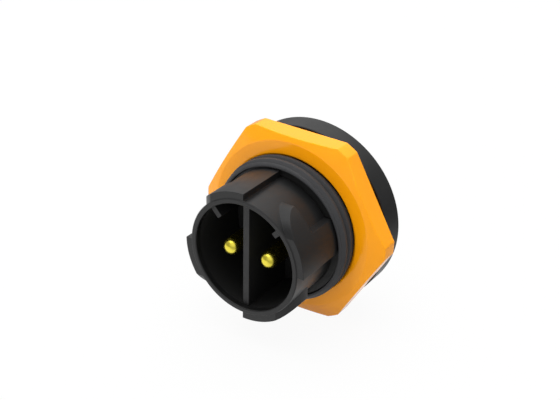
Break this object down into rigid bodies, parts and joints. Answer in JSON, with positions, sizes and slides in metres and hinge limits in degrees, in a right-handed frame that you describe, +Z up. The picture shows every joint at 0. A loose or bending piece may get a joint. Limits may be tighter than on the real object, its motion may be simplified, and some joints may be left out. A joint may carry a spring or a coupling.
{
  "type": "waterproof circular connector",
  "caption": "Round panel receptacle with a bayonet nose, a threaded collar, a flange with its gasket, a hexagonal panel nut and gold-plated pins beside a partition.",
  "frame": {"origin": "centre of the panel seat, on the connector's axis in the plane of the flange's front face", "axes": "-Y along the connector's axis towards the nose, +Z up along the partition, +X to the right seen from the nose"},
  "size_m": [0.0352, 0.03, 0.0318],
  "materials": {
    "housing_plastic": "satin moulded black",
    "insert_plastic": "matt moulded black",
    "contact_gold": "bright gold plating",
    "potting_resin": "cast black resin",
    "seal_rubber": "matt black rubber",
    "nut_plastic": "smooth moulded orange"
  },
  "bodies": {
    "shell": {"housing": "housing_plastic", "contact_insert": "insert_plastic", "contact_left": "contact_gold", "contact_right": "contact_gold", "rear_potting": "potting_resin", "mating_seal": "seal_rubber", "flange_gasket": "seal_rubber"},
    "nut": {"panel_nut": "nut_plastic"}
  },
  "joints": [
    {"name": "nut_spin", "type": "hinge", "parent": "shell", "child": "nut", "pos_m": [0, -0.0024, 0], "axis": [0, -1, 0], "continuous": true}
  ]
}
